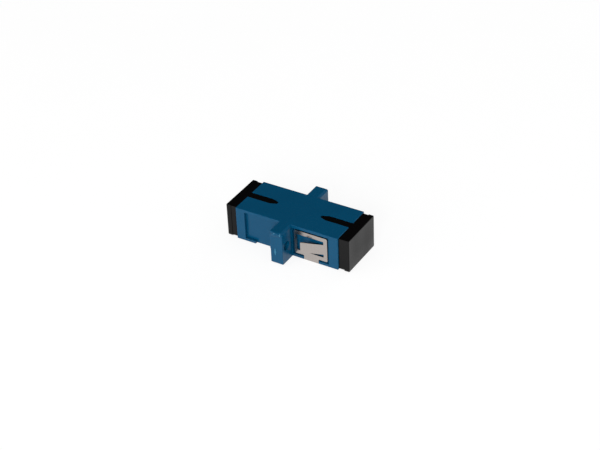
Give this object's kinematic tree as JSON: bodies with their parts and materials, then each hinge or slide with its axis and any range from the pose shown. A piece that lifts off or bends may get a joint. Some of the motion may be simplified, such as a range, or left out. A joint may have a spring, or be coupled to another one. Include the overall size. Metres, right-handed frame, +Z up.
{
  "type": "sc fibre adapter",
  "caption": "Flanged bulkhead adapter that joins SC fibre plugs end to end, with a sprung panel clip and dust caps in its ports.",
  "frame": {"origin": "centre of the split sleeve, on the optical axis at the middle of the flange", "axes": "+X along the optical axis to the front port and the clip, +Y along the flange to one ear, +Z up to the key slots"},
  "size_m": [0.034, 0.022, 0.0093],
  "materials": {
    "housing": "moulded blue plastic, semi-gloss",
    "carrier": "natural moulded plastic",
    "sleeve": "ground white zirconia",
    "clip": "plain rolled spring steel",
    "cap": "moulded black plastic, semi-gloss"
  },
  "bodies": {
    "adapter": {"housing_front": "housing", "housing_rear": "housing", "latch_carrier_front": "carrier", "latch_carrier_rear": "carrier", "alignment_sleeve": "sleeve", "panel_clip": "clip"},
    "cap_front": {"dust_cap_front": "cap"},
    "cap_rear": {"dust_cap_rear": "cap"}
  },
  "joints": [
    {"name": "cap_front_slide", "type": "slide", "parent": "adapter", "child": "cap_front", "axis": [1, 0, 0], "range_m": [0, 0.025]},
    {"name": "cap_rear_slide", "type": "slide", "parent": "adapter", "child": "cap_rear", "axis": [-1, 0, 0], "range_m": [0, 0.025]}
  ]
}
